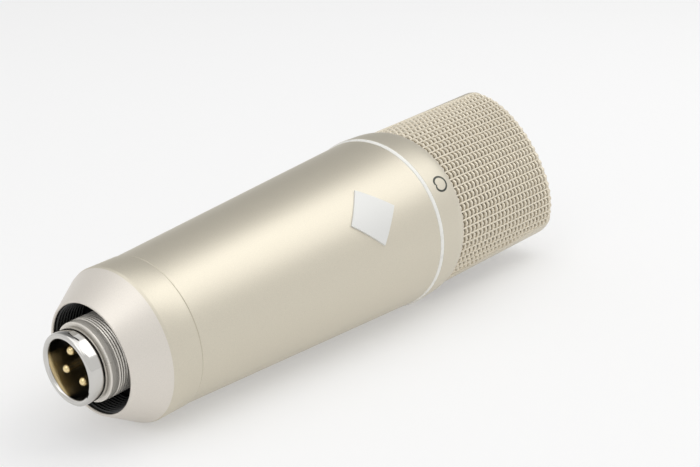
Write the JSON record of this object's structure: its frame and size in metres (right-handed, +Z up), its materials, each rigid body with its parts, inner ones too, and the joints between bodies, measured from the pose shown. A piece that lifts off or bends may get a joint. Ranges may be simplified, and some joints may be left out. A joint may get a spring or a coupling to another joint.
{
  "type": "condenser microphone",
  "caption": "Side-address large-diaphragm condenser microphone with a wedge-shaped wire-mesh head, a tapered casing and a three-contact output plug inside a threaded ferrule.",
  "frame": {"origin": "centre of the footprint at floor level, with the microphone lying on its collar and its base cup", "axes": "+X along the microphone towards the head, level with the floor, +Z up, the address face turned up and towards -Y"},
  "size_m": [0.2008, 0.056, 0.0562],
  "materials": {
    "champagne_enamel": "satin metallic enamel",
    "ivory_band": "smooth ivory",
    "badge_face": "bare satin plate",
    "grille_wire": "woven wire, champagne",
    "grille_frame": "satin champagne",
    "dark_gauze": "fine dark gauze",
    "plug_nickel": "bright nickel plate",
    "contact_gold": "gold-plated",
    "black_insulator": "matte black",
    "dark_ring": "black anodised",
    "rail_brass": "plain",
    "steel_screw": "zinc plated",
    "board_green": "solder mask",
    "part_film": "moulded",
    "part_can": "sleeved can",
    "part_black": "moulded",
    "part_resistor": "lacquered",
    "capsule_brass": "turned",
    "gold_film": "gold-sputtered film",
    "cradle_plastic": "matte",
    "damper_rubber": "matte",
    "lead_sleeve": "insulated lead"
  },
  "bodies": {
    "head_chassis": {"collar": "champagne_enamel", "trim_ring": "ivory_band", "front_mesh": "grille_wire", "rear_mesh": "grille_wire", "grille_hoop": "grille_frame", "grille_base_ring": "grille_frame", "inner_screen": "dark_gauze", "plug_shell": "plug_nickel", "threaded_ferrule": "plug_nickel", "contact_pin_1": "contact_gold", "contact_pin_2": "contact_gold", "contact_pin_3": "contact_gold", "plug_insert": "black_insulator", "lead_header": "black_insulator", "chassis_end_ring": "dark_ring", "rail_left": "rail_brass", "rail_right": "rail_brass", "ferrule_nut": "rail_brass", "capsule_post": "rail_brass", "basket_screws": "steel_screw", "lower_rail_screws": "steel_screw", "upper_rail_screws": "steel_screw", "board_screws": "steel_screw", "post_screws": "steel_screw", "clamp_screws": "steel_screw", "circuit_board": "board_green", "film_capacitors": "part_film", "electrolytic_capacitors": "part_can", "transistors": "part_black", "resistors": "part_resistor", "capsule_core": "capsule_brass", "front_clamp_ring": "capsule_brass", "rear_clamp_ring": "capsule_brass", "front_terminal": "capsule_brass", "rear_terminal": "capsule_brass", "front_diaphragm": "gold_film", "rear_diaphragm": "gold_film", "capsule_cradle": "cradle_plastic", "cradle_damper": "damper_rubber", "capsule_leads": "lead_sleeve", "output_leads": "lead_sleeve"},
    "tube": {"body_tube": "champagne_enamel", "badge_plate": "badge_face"},
    "cup": {"base_cup": "champagne_enamel"}
  },
  "joints": [
    {"name": "tube_slide", "type": "slide", "parent": "head_chassis", "child": "tube", "axis": [-0.9983, 0, -0.0581], "range_m": [0, 0.125]},
    {"name": "cup_slide", "type": "slide", "parent": "tube", "child": "cup", "axis": [-0.9983, 0, -0.0581], "range_m": [0, 0.03]}
  ]
}
